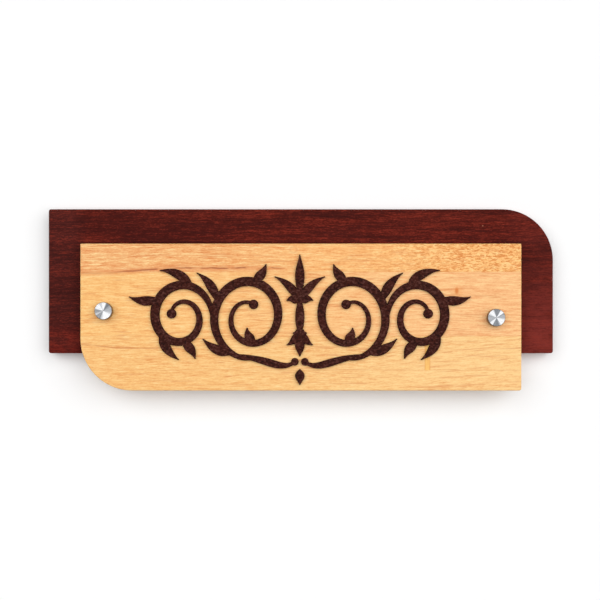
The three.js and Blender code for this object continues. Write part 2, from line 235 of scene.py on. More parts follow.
class Look:
    """One procedural material and the nodes that feed its shader"""

    def __init__(self, name, **fixed):
        self.material = bpy.data.materials.new(name)
        self.material.use_nodes = True
        self.tree = self.material.node_tree
        self.shader = self.tree.nodes["Principled BSDF"]
        self.output = self.tree.nodes["Material Output"]
        for key, value in fixed.items():
            self.shader.inputs[key.replace("_", " ")].default_value = value
        self.source = self.tree.nodes.new("ShaderNodeTexCoord")
        self.place = self.vector("SCALE", self.source.outputs["Object"], 1 / MM)
        self.x, self.y, self.z = self.split(self.place)

    def put(self, socket, value):
        if isinstance(value, bpy.types.NodeSocket):
            self.tree.links.new(value, socket)
        elif value is not None:
            socket.default_value = value

    def math(self, operation, *values, clamp=False):
        node = self.tree.nodes.new("ShaderNodeMath")
        node.operation = operation
        node.use_clamp = clamp
        for socket, value in zip(node.inputs, values):
            self.put(socket, value)
        return node.outputs[0]

    def vector(self, operation, a, b):
        node = self.tree.nodes.new("ShaderNodeVectorMath")
        node.operation = operation
        self.put(node.inputs[0], a)
        self.put(node.inputs["Scale"] if operation == "SCALE" else node.inputs[1], b)
        return node.outputs["Value"] if operation in ("DOT_PRODUCT", "LENGTH") else node.outputs["Vector"]

    def split(self, vector):
        node = self.tree.nodes.new("ShaderNodeSeparateXYZ")
        self.put(node.inputs[0], vector)
        return node.outputs

    def combine(self, x, y, z):
        node = self.tree.nodes.new("ShaderNodeCombineXYZ")
        for socket, value in zip(node.inputs, (x, y, z)):
            self.put(socket, value)
        return node.outputs[0]

    def normal(self):
        """The object's own surface direction, as x, y, z"""
        return self.split(self.source.outputs["Normal"])

    def noise(self, vector, scale, detail=2, roughness=0.5, distortion=0):
        """Noise from 0 to 1; scale is one number or one for each direction"""
        if not isinstance(scale, (int, float)):
            vector, scale = self.vector("MULTIPLY", vector, scale), 1
        node = self.tree.nodes.new("ShaderNodeTexNoise")
        values = {
            "Vector": vector, "Scale": scale, "Detail": detail,
            "Roughness": roughness, "Distortion": distortion,
        }
        for key, value in values.items():
            self.put(node.inputs[key], value)
        return node.outputs[0]

    def ramp(self, value, low, high, to_low=0, to_high=1):
        """A smooth step from low to high"""
        node = self.tree.nodes.new("ShaderNodeMapRange")
        node.interpolation_type = "SMOOTHSTEP"
        for socket, number in zip(node.inputs, (value, low, high, to_low, to_high)):
            self.put(socket, number)
        return node.outputs[0]

    def times(self, *values):
        result = values[0]
        for value in values[1:]:
            result = self.math("MULTIPLY", result, value)
        return result

    def plus(self, *values):
        result = values[0]
        for value in values[1:]:
            result = self.math("ADD", result, value)
        return result

    def swing(self, noise, amount):
        """Noise moved to a mean of 0, amount high from bottom to top"""
        return self.math("MULTIPLY_ADD", noise, amount, -amount / 2)

    def toned(self, colour, tone, dark, light):
        """The colour times dark where tone falls to -1, and light where it rises to 1"""
        colour = self.mix(self.math("MULTIPLY", tone, -1, clamp=True), colour, dark, "MULTIPLY")
        return self.mix(self.math("MULTIPLY", tone, 1, clamp=True), colour, light)

    def line(self, value, at, half, soft):
        """1 where value is within half of at, fading out over soft"""
        distance = self.math("ABSOLUTE", self.math("SUBTRACT", value, at))
        return self.ramp(distance, half + soft, half)

    def spot(self, x, z, wide, high, soft):
        """1 inside an oval in the XZ plane, fading out beyond it"""
        dx = self.math("DIVIDE", self.math("SUBTRACT", self.x, x), wide)
        dz = self.math("DIVIDE", self.math("SUBTRACT", self.z, z), high)
        distance = self.math("SQRT", self.plus(self.times(dx, dx), self.times(dz, dz)))
        return self.ramp(distance, 1 + soft, 1 - soft)

    def mix(self, share, a, b, blend="MIX"):
        """Colour a, with b laid over it by share"""
        node = self.tree.nodes.new("ShaderNodeMix")
        node.data_type = "RGBA"
        node.blend_type = blend
        for socket, value in ((0, share), (6, a), (7, b)):
            self.put(node.inputs[socket], value)
        return node.outputs[2]

    def bump(self, height, distance, strength=1):
        """height from 0 to 1 stands for distance in millimetres"""
        node = self.tree.nodes.new("ShaderNodeBump")
        self.put(node.inputs["Strength"], strength)
        self.put(node.inputs["Distance"], distance * MM)
        self.put(node.inputs["Height"], height)
        self.put(self.shader.inputs["Normal"], node.outputs[0])

    def finish(self, colour, roughness=None):
        self.put(self.shader.inputs["Base Color"], colour)
        self.put(self.shader.inputs["Roughness"], roughness)
        return self.material


def grain_place(look, seed, sway, sway_length):
    """Coordinates whose lines along X sway slowly up and down, moved along by seed"""
    shift = look.combine(look.times(seed, 61), look.times(seed, 17), look.times(seed, 29))
    moved = look.vector("ADD", look.place, shift)
    wander = look.noise(moved, (1 / sway_length, 0.02, 0.03), 2)
    rise = look.times(look.math("SUBTRACT", wander, 0.5), 2 * sway)
    return look.vector("ADD", moved, look.combine(0, 0, rise))


def end_grain(look, colour, fineness, least, tone):
    """Pores seen end on, where the surface faces along X"""
    nx, _, _ = look.normal()
    end = look.ramp(look.math("ABSOLUTE", nx), 0.6, 0.95)
    dots = look.noise(look.place, (0.4, fineness, fineness), 2)
    return look.mix(look.times(end, look.ramp(dots, 0.4, 0.7, least, 0.9)), colour, tone)


def edge_wear_and_highlight(look, colour, inner, outer, amount, tone):
    """Wear and a painted highlight on the rounded edges between the flat faces and the sides"""
    _, ny, _ = look.normal()
    front = look.math("ABSOLUTE", ny)
    wear_and_highlight = look.times(look.ramp(front, 0.98, inner), look.ramp(front, 0.1, outer))
    return look.mix(look.times(wear_and_highlight, amount), colour, tone)


def pale_wood():
    """Edge-glued panel: staves that differ, streaks, flecks, a gum line, a knot and a finger joint"""
    look = Look("edge_glued_panel", Specular_IOR_Level=0.2)
    x, z = look.x, look.z
    top_seam, low_seam, base_seam = 5.8, -38.5, -62.0
    joint_x, joint_half = 87.4, 1.7
    top = look.ramp(z, top_seam - 0.1, top_seam + 0.1)
    low = look.ramp(z, low_seam + 0.1, low_seam - 0.1)
    base = look.ramp(z, base_seam + 0.1, base_seam - 0.1)
    jointed = look.math("SUBTRACT", low, base)
    beyond = look.times(look.ramp(x, joint_x - 0.1, joint_x + 0.1), jointed)
    seed = look.plus(top, look.times(low, 2.3), look.times(base, 3.1), look.times(beyond, 4.7))
    climb = look.times(look.math("MAXIMUM", look.math("SUBTRACT", x, 50), 0), low, -0.07)
    swayed = grain_place(look, seed, sway=2.6, sway_length=110)
    grain = look.vector("ADD", swayed, look.combine(0, 0, climb))
    across = look.ramp(x, -150, 150)
    broad = look.noise(grain, (0.01, 0.22, 0.22), 3, 0.6)
    streak = look.noise(grain, (0.04, 0.75, 0.75), 2, 0.6)
    fibre = look.noise(grain, (0.12, 1.4, 1.4), 2, 0.7)
    grit = look.noise(grain, (0.6, 2.0, 2.0), 2, 0.6)
    veins = look.noise(grain, (0.011, 0.3, 0.3), 2, 0.6)
    patchy = look.noise(look.place, (0.05, 0.1, 0.3), 2)

    colour = look.mix(across, rgb(248, 192, 118), rgb(248, 190, 131))
    colour = look.mix(top, colour, look.mix(across, rgb(241, 176, 113), rgb(254, 194, 119)))
    colour = look.mix(low, colour, look.mix(across, rgb(246, 190, 118), rgb(249, 202, 136)))
    strength = look.plus(0.8, look.times(top, look.ramp(x, 80, -60), 0.4))
    tone = look.times(strength, look.plus(
        look.swing(broad, 0.8), look.swing(streak, 1.3), look.swing(fibre, 3.2), look.swing(grit, 1.6),
    ))
    colour = look.toned(colour, tone, rgb(230, 180, 138), rgb(255, 224, 160))
    hair = look.times(look.line(veins, 0.5, 0.012, 0.02), look.ramp(patchy, 0.45, 0.6))
    colour = look.mix(look.times(hair, 0.45), colour, rgb(214, 130, 72))

    flecks = look.noise(grain, (0.4, 1.5, 1.5), 3, 0.6, 0.5)
    fleck = look.times(top, look.ramp(x, 10, 120, 0.1, 1), look.ramp(flecks, 0.48, 0.58))
    colour = look.mix(look.times(fleck, 0.9), colour, rgb(218, 132, 60))
    pale_fleck = look.times(top, look.ramp(x, 10, 120), look.ramp(flecks, 0.46, 0.34))
    colour = look.mix(look.times(pale_fleck, 0.6), colour, rgb(255, 222, 158))

    wobble = look.swing(look.noise(look.place, (0.06, 0, 0), 3), 2.4)
    gum_end = look.ramp(x, 8, -30)
    wander = look.plus(look.ramp(x, -142, -85, 5.0, 8.4), wobble)
    broken = look.noise(look.place, (0.075, 0.1, 0.3), 3)
    colour = look.mix(look.times(look.line(z, wander, 0.6, 2.4), gum_end, 0.4), colour, rgb(222, 138, 86))
    faint_start = look.ramp(x, -130, -118, 0.3, 1)
    gum = look.times(look.line(z, wander, 0.25, 0.55), look.ramp(broken, 0.38, 0.56), gum_end, faint_start)
    colour = look.mix(look.times(gum, 0.8), colour, rgb(164, 84, 44))
    sill = look.plus(look.ramp(x, -150, -122, -44.6, -46.8), look.times(wobble, 0.5))
    sill = look.times(look.line(z, sill, 0.12, 0.5), look.ramp(broken, 0.2, 0.45), look.ramp(x, -75, -105))
    colour = look.mix(look.times(sill, 0.65), colour, rgb(200, 118, 66))
    for at, half, amount in ((top_seam, 0.06, 0.45), (low_seam, 0.08, 0.5), (base_seam, 0.06, 0.4)):
        seam = look.times(look.line(z, at, half, 0.3), look.ramp(broken, 0.35, 0.65, 0.4, 1))
        colour = look.mix(look.times(seam, amount), colour, rgb(214, 138, 76))

    knot_x, knot_z = 107.6, -7.2
    halo = look.spot(knot_x + 0.6, knot_z - 0.2, 2.8, 3.2, 0.7)
    colour = look.mix(look.times(halo, 0.5), colour, rgb(238, 164, 94))
    knot = look.spot(knot_x, knot_z, 1.2, 2.1, 0.6)
    colour = look.mix(look.times(knot, 0.9), colour, rgb(216, 124, 56))
    ring_x, ring_z = -5.1, 21.1
    ring = look.math(
        "SUBTRACT", look.spot(ring_x, ring_z, 3.0, 2.6, 0.25), look.spot(ring_x, ring_z, 1.7, 1.4, 0.3),
    )
    colour = look.mix(look.times(ring, 0.3), colour, rgb(216, 146, 92))

    upright = look.noise(look.place, (2.6, 1, 0.12), 3, 0.6)
    tongue = look.mix(look.ramp(upright, 0.35, 0.65), rgb(253, 201, 112), rgb(241, 176, 88))
    finger = look.line(x, joint_x, joint_half, 0.1)
    colour = look.mix(look.times(finger, jointed, 0.85), colour, tongue)
    borders = look.plus(
        look.line(x, joint_x - joint_half, 0.1, 0.3), look.line(x, joint_x + joint_half, 0.1, 0.3),
    )
    colour = look.mix(look.times(borders, jointed, 0.6), colour, rgb(222, 142, 66))

    _, ny, _ = look.normal()
    colour = look.mix(look.ramp(ny, -0.6, 0.6, 0, 0.7), colour, rgb(188, 164, 138))
    colour = end_grain(look, colour, fineness=2.4, least=0.35, tone=rgb(196, 138, 86))
    # Paler rounded edges: wear and a painted highlight
    colour = edge_wear_and_highlight(
        look, colour, inner=0.85, outer=0.45, amount=0.4, tone=rgb(250, 200, 124),
    )

    relief = look.plus(look.times(fibre, 0.5), look.times(fleck, -0.35), look.times(gum, -0.5))
    look.bump(relief, distance=0.04, strength=0.25)
    worn = look.plus(streak, look.times(grit, 0.5))
    return look.finish(colour, look.ramp(worn, 0.4, 1.1, 0.36, 0.55))


def dark_wood():
    """Red-brown stained board: long dark and red streaks, pores, painted shade beside the face board"""
    look = Look("red_brown_board", Specular_IOR_Level=0.04)
    x, z = look.x, look.z
    grain = grain_place(look, seed=0, sway=2.2, sway_length=70)
    broad = look.noise(grain, (0.009, 0.12, 0.12), 3, 0.6)
    streak = look.noise(grain, (0.025, 0.7, 0.7), 3, 0.6)
    fibre = look.noise(grain, (0.15, 1.4, 1.4), 3, 0.7)
    grit = look.noise(grain, (0.6, 2.6, 2.6), 2, 0.6)
    pores = look.noise(grain, (0.16, 2.6, 2.6), 1)
    tone = look.plus(
        look.swing(broad, 0.9), look.swing(streak, 1.0), look.swing(fibre, 1.7), look.swing(grit, 1.4),
    )
    colour = look.mix(look.ramp(broad, 0.35, 0.65), rgb(70, 19, 14), rgb(82, 22, 14))
    colour = look.mix(look.ramp(x, -148, -164), colour, rgb(76, 27, 23))
    cloud = look.noise(look.place, (0.07, 0.07, 0.11), 3, 0.6)
    glow = look.times(
        look.ramp(x, 138, 166), look.ramp(z, 28, -44, 0.2, 1), look.ramp(cloud, 0.3, 0.6, 0.45, 1),
    )
    colour = look.mix(glow, colour, rgb(142, 54, 46))
    ember = look.times(
        look.ramp(x, -150, -160), look.ramp(z, -26, -46), look.ramp(cloud, 0.35, 0.55, 0.4, 1),
    )
    colour = look.mix(look.times(ember, 0.55), colour, rgb(118, 30, 22))
    colour = look.toned(colour, tone, rgb(140, 62, 48), rgb(160, 58, 42))
    colour = look.mix(look.times(look.ramp(pores, 0.67, 0.73), 0.5), colour, rgb(34, 9, 9))
    # Painted shade: the face board's shadow on the front of this board, deepest to its left, lighter to
    # its right and above
    face_left, face_right, face_top = face_low[0], face_high[0], face_high[2]
    level = look.ramp(z, face_top + 5, face_top - 2)
    left = look.times(level, look.ramp(x, face_left - 17, face_left - 2, 0, 0.45))
    right = look.times(level, look.ramp(x, face_right + 9, face_right + 1, 0, 0.25))
    above = look.times(
        look.ramp(look.math("ABSOLUTE", x), face_right + 3, face_right - 3),
        look.ramp(z, face_top + 4.5, face_top + 0.5, 0, 0.45),
    )
    _, ny, _ = look.normal()
    beside = look.math("MAXIMUM", look.math("MAXIMUM", left, right), above)
    shade = look.times(beside, look.ramp(ny, -0.4, -0.8))
    colour = look.mix(shade, colour, rgb(160, 150, 150), "MULTIPLY")
    speck = look.spot(128.2, 39.0, 0.45, 0.35, 0.5)
    colour = look.mix(look.times(speck, 0.7), colour, rgb(178, 120, 96))
    colour = end_grain(look, colour, fineness=2.2, least=0.4, tone=rgb(50, 17, 15))
    # Paler rounded edges: wear and a painted highlight
    colour = edge_wear_and_highlight(look, colour, inner=0.8, outer=0.5, amount=0.2, tone=rgb(126, 52, 38))

    relief = look.plus(look.times(fibre, 0.5), look.times(streak, 0.3), look.times(pores, -0.3))
    look.bump(relief, distance=0.05, strength=0.4)
    return look.finish(colour, look.ramp(streak, 0.3, 0.7, 0.42, 0.6))


def brown_sheet():
    """Dark stained sheet with a fine mottle and darker cut edges"""
    look = Look("scrollwork_sheet", Specular_IOR_Level=0.04)
    mottle = look.noise(look.place, (0.6, 0.6, 0.9), 3, 0.65)
    fine = look.noise(look.place, (2.6, 2.6, 3.2), 3, 0.7)
    cloud = look.noise(look.place, 0.12, 2)
    colour = look.mix(look.ramp(cloud, 0.35, 0.65), rgb(54, 21, 14), rgb(63, 24, 16))
    colour = look.mix(look.ramp(mottle, 0.5, 0.36, 0, 1), colour, rgb(30, 11, 10))
    colour = look.mix(look.ramp(mottle, 0.5, 0.66, 0, 1), colour, rgb(90, 55, 49))
    colour = look.mix(look.ramp(fine, 0.5, 0.7, 0, 0.5), colour, rgb(84, 54, 49))
    _, ny, _ = look.normal()
    side = look.ramp(look.math("ABSOLUTE", ny), 0.97, 0.6)
    colour = look.mix(look.times(side, 0.75), colour, rgb(34, 16, 13))
    look.bump(look.plus(mottle, look.times(fine, 0.6)), distance=0.08, strength=0.6)
    return look.finish(colour, look.ramp(mottle, 0.3, 0.7, 0.6, 0.78))


def spun_steel(name, centre, painted_lobes):
    """Stainless steel turned on its face, with reflections that fan out from the middle: its anisotropic
    shine, and painted reflection lobes in its colour

    Each lobe is [direction, half width, amount] of a painted reflection, in degrees and shares,
    anticlockwise from +X.
    """
    look = Look(name, Metallic=1.0, Anisotropic=0.5)
    tangent = look.tree.nodes.new("ShaderNodeTangent")
    tangent.direction_type = "RADIAL"
    tangent.axis = "Y"
    look.put(look.shader.inputs["Tangent"], tangent.outputs[0])
    dx = look.math("SUBTRACT", look.x, centre[0])
    dz = look.math("SUBTRACT", look.z, centre[1])
    radius = look.math("SQRT", look.plus(look.times(dx, dx), look.times(dz, dz)))
    safe = look.math("MAXIMUM", radius, 0.05)
    around = look.combine(look.math("DIVIDE", dx, safe), 0, look.math("DIVIDE", dz, safe))
    angle = look.math("ARCTAN2", dz, dx)
    # Painted reflection: bright lobes and fine spokes that fan out from the middle, laid into the colour
    lit = 0
    for at, half, amount in painted_lobes:
        facing = look.math("COSINE", look.math("SUBTRACT", angle, math.radians(at)))
        inner, outer = math.cos(math.radians(half * 0.4)), math.cos(math.radians(half * 1.6))
        lit = look.math("MAXIMUM", lit, look.ramp(facing, outer, inner, 0, amount))
    painted_spokes = look.noise(around, 6, 3, 0.75)
    lit = look.plus(look.times(lit, 0.88), look.swing(painted_spokes, 0.9))
    lit = look.math("MINIMUM", look.math("MAXIMUM", lit, 0), 1)
    colour = look.mix(lit, rgb(91, 94, 98), rgb(187, 188, 190))
    rings = look.noise(look.combine(radius, 0, 0), 9, 3, 0.7)
    colour = look.mix(look.ramp(rings, 0.55, 0.7, 0, 0.25), colour, rgb(150, 150, 152))
    _, ny, _ = look.normal()
    # Painted reflection of the wood on the rounded rim
    edge = look.ramp(look.math("ABSOLUTE", ny), 0.995, 0.85)
    colour = look.mix(look.times(edge, 0.8), colour, rgb(132, 112, 96))
    # Painted shade on the side wall, darker than the face
    side = look.ramp(look.math("ABSOLUTE", ny), 0.7, 0.2)
    colour = look.mix(look.times(side, 0.8), colour, rgb(100, 92, 86))
    look.bump(rings, distance=0.02, strength=0.35)
    return look.finish(colour, look.ramp(rings, 0.3, 0.7, 0.26, 0.38))


def zinc_steel():
    """Zinc-plated steel with a faint warm bloom and a fine grey grit"""
    look = Look("zinc_plated_steel", Metallic=0.9)
    bloom = look.noise(look.place, 0.35, 3)
    grit = look.noise(look.place, 4, 3, 0.7)
    colour = look.mix(look.ramp(bloom, 0.35, 0.65), rgb(196, 200, 206), rgb(206, 202, 188))
    colour = look.mix(look.ramp(grit, 0.52, 0.72, 0, 0.35), colour, rgb(150, 152, 156))
    look.bump(grit, distance=0.02, strength=0.4)
    return look.finish(colour, look.ramp(grit, 0.3, 0.7, 0.3, 0.46))


def nylon(name, light, dark):
    """Moulded nylon with a slight mottle"""
    look = Look(name, Specular_IOR_Level=0.35)
    cloud = look.noise(look.place, 0.3, 2)
    grit = look.noise(look.place, 3.5, 3, 0.6)
    colour = look.mix(look.ramp(cloud, 0.3, 0.7), dark, light)
    colour = look.mix(look.ramp(grit, 0.52, 0.75, 0, 0.3), colour, dark)
    look.bump(grit, distance=0.03, strength=0.4)
    return look.finish(colour, look.ramp(cloud, 0.3, 0.7, 0.45, 0.6))


PALE = pale_wood()
DARK = dark_wood()
SHEET = brown_sheet()
ZINC = zinc_steel()
# Painted reflection lobes for each cap, as direction, half width and amount
CAP_STEEL = {
    "left": spun_steel("spun_steel_left", CAP_AT["left"], [
        (85, 15, 1), (107, 10, 0.6), (140, 22, 0.95), (205, 9, 0.6),
        (302, 40, 1), (8, 24, 0.42), (184, 9, 0.2), (228, 8, 0.25),
    ]),
    "right": spun_steel("spun_steel_right", CAP_AT["right"], [
        (134, 20, 0.95), (47, 12, 0.95), (-36, 24, 1), (-133, 12, 0.85), (186, 20, 0.3), (4, 19, 0.34),
    ]),
}
WASHER = nylon("washer_nylon", rgb(222, 220, 212), rgb(198, 196, 188))
PLUG = nylon("plug_nylon", rgb(164, 166, 168), rgb(138, 140, 142))


# Boards: rings of the outline, drawn in over a rounded edge, with flat faces front and rear

def inset(outline, amount):
    """A closed outline moved inwards, each corner along its own bisector"""
    points = np.array(outline, float)
    before = points - np.roll(points, 1, 0)
    after = np.roll(points, -1, 0) - points
    before /= np.linalg.norm(before, axis=1)[:, None]
    after /= np.linalg.norm(after, axis=1)[:, None]
    n0 = np.stack([-before[:, 1], before[:, 0]], 1)
    n1 = np.stack([-after[:, 1], after[:, 0]], 1)
    corner = (n0 + n1) / np.maximum(1 + (n0 * n1).sum(1), 0.35)[:, None]
    return points + corner * np.reshape(amount, (-1, 1))


def slab_rings(outline, front, rear, edge, segments=5):
    """Rings from the front face's border over the rounded edges to the rear face's border"""
    border = edge + 0.12

    def ring(amount, y):
        return [(x, y, z) for x, z in inset(outline, amount)]

    turns = [math.pi / 2 * k / segments for k in range(segments + 1)]
    rings = [ring(border, front)]
    rings += [ring(edge * (1 - math.sin(a)), front + edge * (1 - math.cos(a))) for a in turns]
    rings += [ring(edge * (1 - math.sin(a)), rear - edge * (1 - math.cos(a))) for a in reversed(turns)]
    rings.append(ring(border, rear))
    return rings


def board_outline(low, high, radii):
    """Outline in XZ, anticlockwise, with a radius for each corner from the lower left on"""
    corners = [(low[0], low[2]), (high[0], low[2]), (high[0], high[2]), (low[0], high[2])]
    points = []
    for i, (corner, radius) in enumerate(zip(corners, radii)):
        around = [corners[i - 1], (*corner, radius), corners[(i + 1) % 4]]
        segments = 40 if radius > 10 else 6
        points += filleted(around, segments)[1:-1]
    return points


def board(node, outline, low, high, holes, material):
    """A board with rounded long edges and its holes, each a profile and a place"""
    verts, faces = joined_rings(slab_rings(outline, low[1], high[1], ARRIS))
    count = len(outline)
    faces.append(tuple(range(count)))
    faces.append(tuple(range(len(verts) - count, len(verts))))
    obj = make_mesh(f"{node}_finish", verts, faces)
    cutters = [
        make_mesh("cutter", *joined_rings(lathe_rings(profile, centre, steps=48)))
        for profile, centre in holes
    ]
    carved(obj, cutters)
    finished(obj, material, "root", node)


# Sizes of the boards' edges and holes, and how far a cutter reaches past a face
ARRIS = 0.8
ROUND_CORNER = 36
EASED_CORNER = 1.6
CRISP_CORNER = 0.8
BOLT_HOLE = 3.3
BOLT_MOUTH = HEAD_RADIUS + 0.3
BOLT_SEAT = FACE_FRONT + 0.6
JOIN_HOLE = 2.05
JOIN_MOUTH = 4.1
JOIN_DEPTH = 7
PAST = 1
back_holes = [([
    (0, BACK_FRONT - PAST), (BOLT_HOLE, BACK_FRONT - PAST), (BOLT_HOLE, PAST), (0, PAST),
], CAP_AT[side]) for side in CAP_AT]
back_holes += [([
    (0, BACK_FRONT - PAST), (JOIN_HOLE, BACK_FRONT - PAST), (JOIN_HOLE, JOIN_HOLE - JOIN_MOUTH),
    (JOIN_MOUTH, 0), (JOIN_MOUTH, PAST), (0, PAST),
], middle_xz(node)) for node in JOINING_SCREWS]
face_holes = [([
    (0, FACE_FRONT - PAST), (BOLT_MOUTH, FACE_FRONT - PAST), (BOLT_MOUTH, BOLT_SEAT),
    (BOLT_HOLE, BOLT_SEAT + BOLT_MOUTH - BOLT_HOLE), (BOLT_HOLE, BACK_FRONT + PAST),
    (0, BACK_FRONT + PAST),
], CAP_AT[side]) for side in CAP_AT]
face_holes += [([
    (0, BACK_FRONT - JOIN_DEPTH), (JOIN_HOLE, BACK_FRONT - JOIN_DEPTH),
    (JOIN_HOLE, BACK_FRONT + PAST), (0, BACK_FRONT + PAST),
], middle_xz(node)) for node in JOINING_SCREWS]
back_outline = board_outline(
    back_low, back_high, (EASED_CORNER, EASED_CORNER, ROUND_CORNER, EASED_CORNER),
)
face_outline = board_outline(
    face_low, face_high, (ROUND_CORNER, EASED_CORNER, CRISP_CORNER, CRISP_CORNER),
)
board("back_board", back_outline, back_low, back_high, back_holes, DARK)
board("face_board", face_outline, face_low, face_high, face_holes, PALE)


# Scrollwork: the CAD outlines drawn smoother, with a softened front edge

def lies_on(verts, plane):
    """Whether all these vertices lie at a plane square to Y, given in millimetres"""
    return all(abs(v.co.y / MM - plane) < 0.01 for v in verts)


def front_outlines(node, plane):
    """Closed outlines of a flat node's front face in millimetres, outer ones anticlockwise"""
    bm = bmesh.new()
    bm.from_mesh(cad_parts[node].data)
    bmesh.ops.remove_doubles(bm, verts=bm.verts, dist=2e-6)
    follow = {}
    for face in bm.faces:
        if lies_on(face.verts, plane):
            for loop in face.loops:
                if not all(lies_on(f.verts, plane) for f in loop.edge.link_faces):
                    follow[loop.vert] = loop.link_loop_next.vert
    outlines = []
    while follow:
        start = next(iter(follow))
        outline = []
        vert = start
        while vert in follow:
            outline.append((vert.co.x / MM, vert.co.z / MM))
            vert = follow.pop(vert)
        outlines.append(outline)
    bm.free()
    return outlines


def spaced(outline, least):
    """The outline without points that lie closer than least to the one before"""
    kept = [outline[0]]
    for point in outline[1:]:
        if math.dist(point, kept[-1]) >= least:
            kept.append(point)
    if math.dist(kept[0], kept[-1]) < least:
        kept.pop()
    return kept


def between(t, a, b, ta, tb):
    """The point at t on the line that passes a at ta and b at tb"""
    return (tb - t) / (tb - ta) * a + (t - ta) / (tb - ta) * b


def smoother(outline, parts=4, crease=42):
    """Curves through an outline's points, but for corners sharper than crease degrees"""
    points = np.array(spaced(outline, least=0.12))
    count = len(points)
    before = points - np.roll(points, 1, 0)
    after = np.roll(points, -1, 0) - points
    turn = np.degrees(np.abs(np.arctan2(
        before[:, 0] * after[:, 1] - before[:, 1] * after[:, 0], (before * after).sum(1),
    )))
    out = []
    for i in range(count):
        j = (i + 1) % count
        p1, p2 = points[i], points[j]
        p0 = points[i - 1] if turn[i] < crease else 2 * p1 - p2
        p3 = points[(j + 1) % count] if turn[j] < crease else 2 * p2 - p1
        knots = [0]
        for a, b in ((p0, p1), (p1, p2), (p2, p3)):
            knots.append(knots[-1] + max(math.dist(a, b), 1e-6) ** 0.5)
        for k in range(parts):
            t = knots[1] + (knots[2] - knots[1]) * k / parts
            a1 = between(t, p0, p1, knots[0], knots[1])
            a2 = between(t, p1, p2, knots[1], knots[2])
            a3 = between(t, p2, p3, knots[2], knots[3])
            b1 = between(t, a1, a2, knots[0], knots[2])
            b2 = between(t, a2, a3, knots[1], knots[3])
            out.append(tuple(between(t, b1, b2, knots[1], knots[2])))
    return spaced(out, least=0.05)


def edge_room(loops, most):
    """How far each loop's points may move inwards, less where the piece is thin"""
    every = np.concatenate([np.array(loop) for loop in loops])
    far_off = 99
    straight_across, width_share = 0.6, 0.3
    rooms = []
    for loop in loops:
        points = np.array(loop)
        inward = inset(points, 1) - points
        inward /= np.linalg.norm(inward, axis=1)[:, None]
        gap = every[None] - points[:, None]
        distance = np.linalg.norm(gap, axis=2) + 1e-9
        facing = (gap * inward[:, None]).sum(2) / distance > straight_across
        width = np.where(facing, distance, far_off).min(1)
        room = np.minimum(most, width_share * width)
        for _ in range(3):
            room = np.minimum(room, (np.roll(room, 1) + room + np.roll(room, -1)) / 3)
        rooms.append(room)
    return rooms


def scrollwork(node, edge=0.4, segments=3):
    """A flat cut-out with smooth curves and a front edge rounded by up to edge"""
    loops = [smoother(outline) for outline in front_outlines(node, SCROLL_FRONT)]
    rooms = edge_room(loops, edge)
    verts, faces = [], []
    for loop, room in zip(loops, rooms):
        turns = [math.pi / 2 * k / segments for k in range(segments + 1)]
        levels = [(0, FACE_FRONT)]
        levels += [(1 - math.cos(a), SCROLL_FRONT + edge * (1 - math.sin(a))) for a in turns]
        rings = [[(x, y, z) for x, z in inset(loop, room * share)] for share, y in levels]
        ring_verts, ring_faces = joined_rings(rings)
        start = len(verts)
        verts += ring_verts
        faces += [tuple(start + i for i in face) for face in ring_faces]
    obj = make_mesh(f"{node}_finish", verts, faces)
    bm = bmesh.new()
    bm.from_mesh(obj.data)
    for plane in (FACE_FRONT, SCROLL_FRONT):
        rim = [e for e in bm.edges if e.is_boundary and lies_on(e.verts, plane)]
        bmesh.ops.triangle_fill(bm, edges=rim, use_beauty=True, use_dissolve=False)
    bmesh.ops.recalc_face_normals(bm, faces=bm.faces)
    bm.to_mesh(obj.data)
    bm.free()
    finished(obj, SHEET, "root", node, crease=38)


for node in ("left_scroll", "right_scroll", "centre_palmette", "base_drop"):
    scrollwork(node)


# Turned pieces

# The studs of the caps and the tapped holes that take them
STUD_RADIUS = 1.5
STUD_PITCH = 0.5
TAP_RADIUS = 1.8
CAP_HEIGHT = 4.5


def turned(node, rings, material, body, closed=False, cutters=()):
    """The finish of a turned node, made of rings with the cutters taken out"""
    obj = make_mesh(f"{node}_finish", *joined_rings(rings, closed))
    if cutters:
        carved(obj, cutters)
    finished(obj, material, body, node)


def steel_cap(side):
    """Disc with a turning mark at its middle, fine rings on its face and a threaded stud"""
    low, high = box_mm(f"{side}_cap")
    centre = CAP_AT[side]
    front, tip = low[1], high[1]
    back = front + CAP_HEIGHT
    radius = (high[0] - low[0]) / 2
    edge = 0.8
    face_rings = 22
    ring_depth = 0.012
    profile = [(0, front + 0.12), (0.22, front + 0.1), (0.4, front)]
    for i in range(face_rings):
        r = 0.6 + (radius - 1.5) * i / (face_rings - 1)
        profile.append((r, front + (ring_depth if i % 2 else 0)))
    profile += [
        (radius - edge - 0.04, front), (radius, front, edge), (radius, back, 0.15),
        (STUD_RADIUS + 0.1, back), (STUD_RADIUS, back),
    ]
    face = lathe_rings(filleted(profile, segments=6), centre, steps=128)
    start = back + 0.25
    chamfer = 0.35
    stud = thread_rings(
        centre, start, tip, STUD_PITCH,
        lambda y: STUD_RADIUS - max(0, y - (tip - chamfer)),
        lambda y: 0.27 * min(1, (y - start) / 0.3),
        sharpness=1, steps=128, samples=12,
    )
    rings = face + stud + [[(centre[0], tip, centre[1])]]
    turned(f"{side}_cap", rings, CAP_STEEL[side], f"{side}_cap")


def soft_washer(side):
    """Thin ring between a cap and the face board, which travels with the cap"""
    low, high = box_mm(f"{side}_cap_washer")
    radius = (high[0] - low[0]) / 2
    bore = 1.8
    profile = [
        (bore, low[1], 0.15), (radius, low[1], 0.25), (radius, high[1], 0.25), (bore, high[1], 0.15),
    ]
    rings = lathe_rings(filleted(profile, segments=5, closed=True), CAP_AT[side], steps=72)
    turned(f"{side}_cap_washer", rings, WASHER, f"{side}_washer", closed=True)


